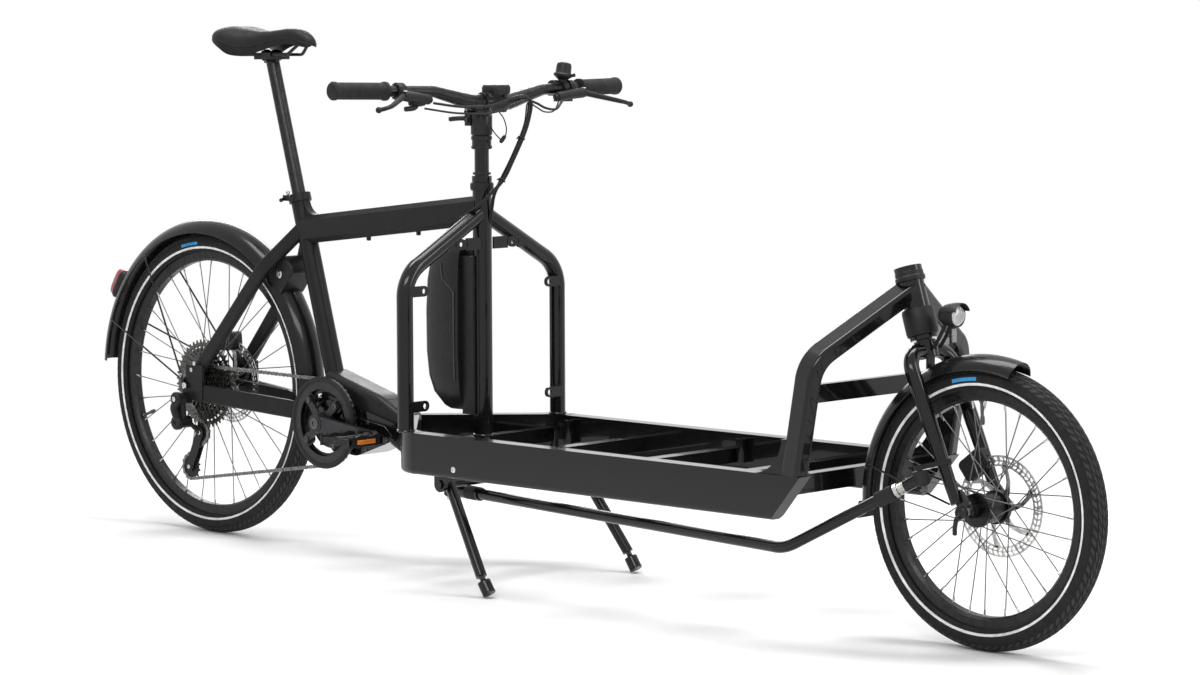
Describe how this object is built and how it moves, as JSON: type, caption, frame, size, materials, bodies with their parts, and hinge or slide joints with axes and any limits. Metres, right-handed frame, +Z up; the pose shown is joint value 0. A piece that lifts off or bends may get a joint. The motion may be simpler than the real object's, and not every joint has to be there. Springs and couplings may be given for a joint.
{
  "type": "electric cargo bicycle",
  "caption": "Long front-loader electric cargo bicycle with a low tube platform, rod steering, a mid motor, a battery behind the column and a double-legged stand.",
  "frame": {"origin": "middle of the footprint on the floor", "axes": "+X forward, +Y to the rider's left, +Z up"},
  "size_m": [2.7016, 0.7896, 1.0945],
  "materials": {
    "frame_paint": "satin",
    "gloss_paint": "gloss",
    "matte_plastic": "matte",
    "battery_shell": "satin",
    "black_alloy": "anodised",
    "steel": "brushed",
    "tyre_rubber": "matte",
    "grip_rubber": "matte",
    "saddle_cover": "satin",
    "red_lens": "gloss",
    "clear_lens": "gloss"
  },
  "bodies": {
    "frame": {"column": "gloss_paint", "top_tube": "frame_paint", "seat_tube": "frame_paint", "seat_stays": "frame_paint", "chain_stays": "frame_paint", "boom": "frame_paint", "motor": "matte_plastic", "battery": "battery_shell", "battery_cradle": "matte_plastic", "hoop_left": "gloss_paint", "hoop_right": "gloss_paint", "rail_left": "gloss_paint", "rail_right": "gloss_paint", "cross_members": "gloss_paint", "upright_left": "gloss_paint", "upright_right": "gloss_paint", "front_bar": "gloss_paint", "front_head": "gloss_paint", "seat_post": "black_alloy", "saddle": "saddle_cover", "rear_mudguard": "matte_plastic", "rear_light": "red_lens", "rear_caliper": "matte_plastic", "derailleur": "matte_plastic", "chain": "steel", "rear_axle": "steel"},
    "steering": {"steerer": "gloss_paint", "stem": "black_alloy", "handlebar": "black_alloy", "grips": "grip_rubber", "brake_levers": "matte_plastic", "display": "matte_plastic", "bell": "matte_plastic"},
    "tie_rod": {"tie_rod": "gloss_paint"},
    "fork": {"fork": "gloss_paint", "front_mudguard": "matte_plastic", "headlight": "clear_lens", "front_caliper": "matte_plastic", "front_axle": "steel"},
    "front_wheel": {"front_tyre": "tyre_rubber", "front_rim": "black_alloy", "front_spokes": "steel", "front_hub": "black_alloy", "front_rotor": "steel"},
    "rear_wheel": {"rear_tyre": "tyre_rubber", "rear_rim": "black_alloy", "rear_spokes": "steel", "rear_hub": "black_alloy", "cassette": "steel", "rear_rotor": "steel"},
    "crank": {"chainring": "black_alloy", "crank_arms": "black_alloy"},
    "pedal_left": {"pedal_left": "matte_plastic"},
    "pedal_right": {"pedal_right": "matte_plastic"},
    "stand": {"stand": "gloss_paint"}
  },
  "joints": [
    {"name": "front_steer", "type": "hinge", "parent": "frame", "child": "fork", "pos_m": [0.97276, 0, 0.5], "axis": [-0.2924, 0, 0.9563], "range_deg": [-35, 35]},
    {"name": "bar_steer", "type": "hinge", "parent": "frame", "child": "steering", "pos_m": [-0.15322, 0, 0.6], "axis": [0, 0, 1], "range_deg": [-35, 35]},
    {"name": "rod_swing", "type": "hinge", "parent": "steering", "child": "tie_rod", "pos_m": [-0.15322, -0.09085, 0.178], "axis": [0, 0.0234, 0.9997], "range_deg": [-35, 35]},
    {"name": "front_roll", "type": "hinge", "parent": "fork", "child": "front_wheel", "pos_m": [1.10178, 0, 0.249], "axis": [0, 1, 0], "continuous": true},
    {"name": "rear_roll", "type": "hinge", "parent": "frame", "child": "rear_wheel", "pos_m": [-0.98822, 0, 0.325], "axis": [0, 1, 0], "continuous": true},
    {"name": "crank_turn", "type": "hinge", "parent": "frame", "child": "crank", "pos_m": [-0.57022, 0, 0.275], "axis": [0, 1, 0], "continuous": true},
    {"name": "pedal_left_turn", "type": "hinge", "parent": "crank", "child": "pedal_left", "pos_m": [-0.73957, 0.132, 0.28982], "axis": [0, 1, 0], "continuous": true},
    {"name": "pedal_right_turn", "type": "hinge", "parent": "crank", "child": "pedal_right", "pos_m": [-0.40087, -0.132, 0.26018], "axis": [0, 1, 0], "continuous": true},
    {"name": "stand_fold", "type": "hinge", "parent": "frame", "child": "stand", "pos_m": [-0.06322, 0, 0.206], "axis": [0, 1, 0], "range_deg": [0, 116]}
  ],
  "couplings": [
    {"joint": "bar_steer", "follows": "front_steer", "ratio": 1},
    {"joint": "rod_swing", "follows": "front_steer", "ratio": -1}
  ]
}
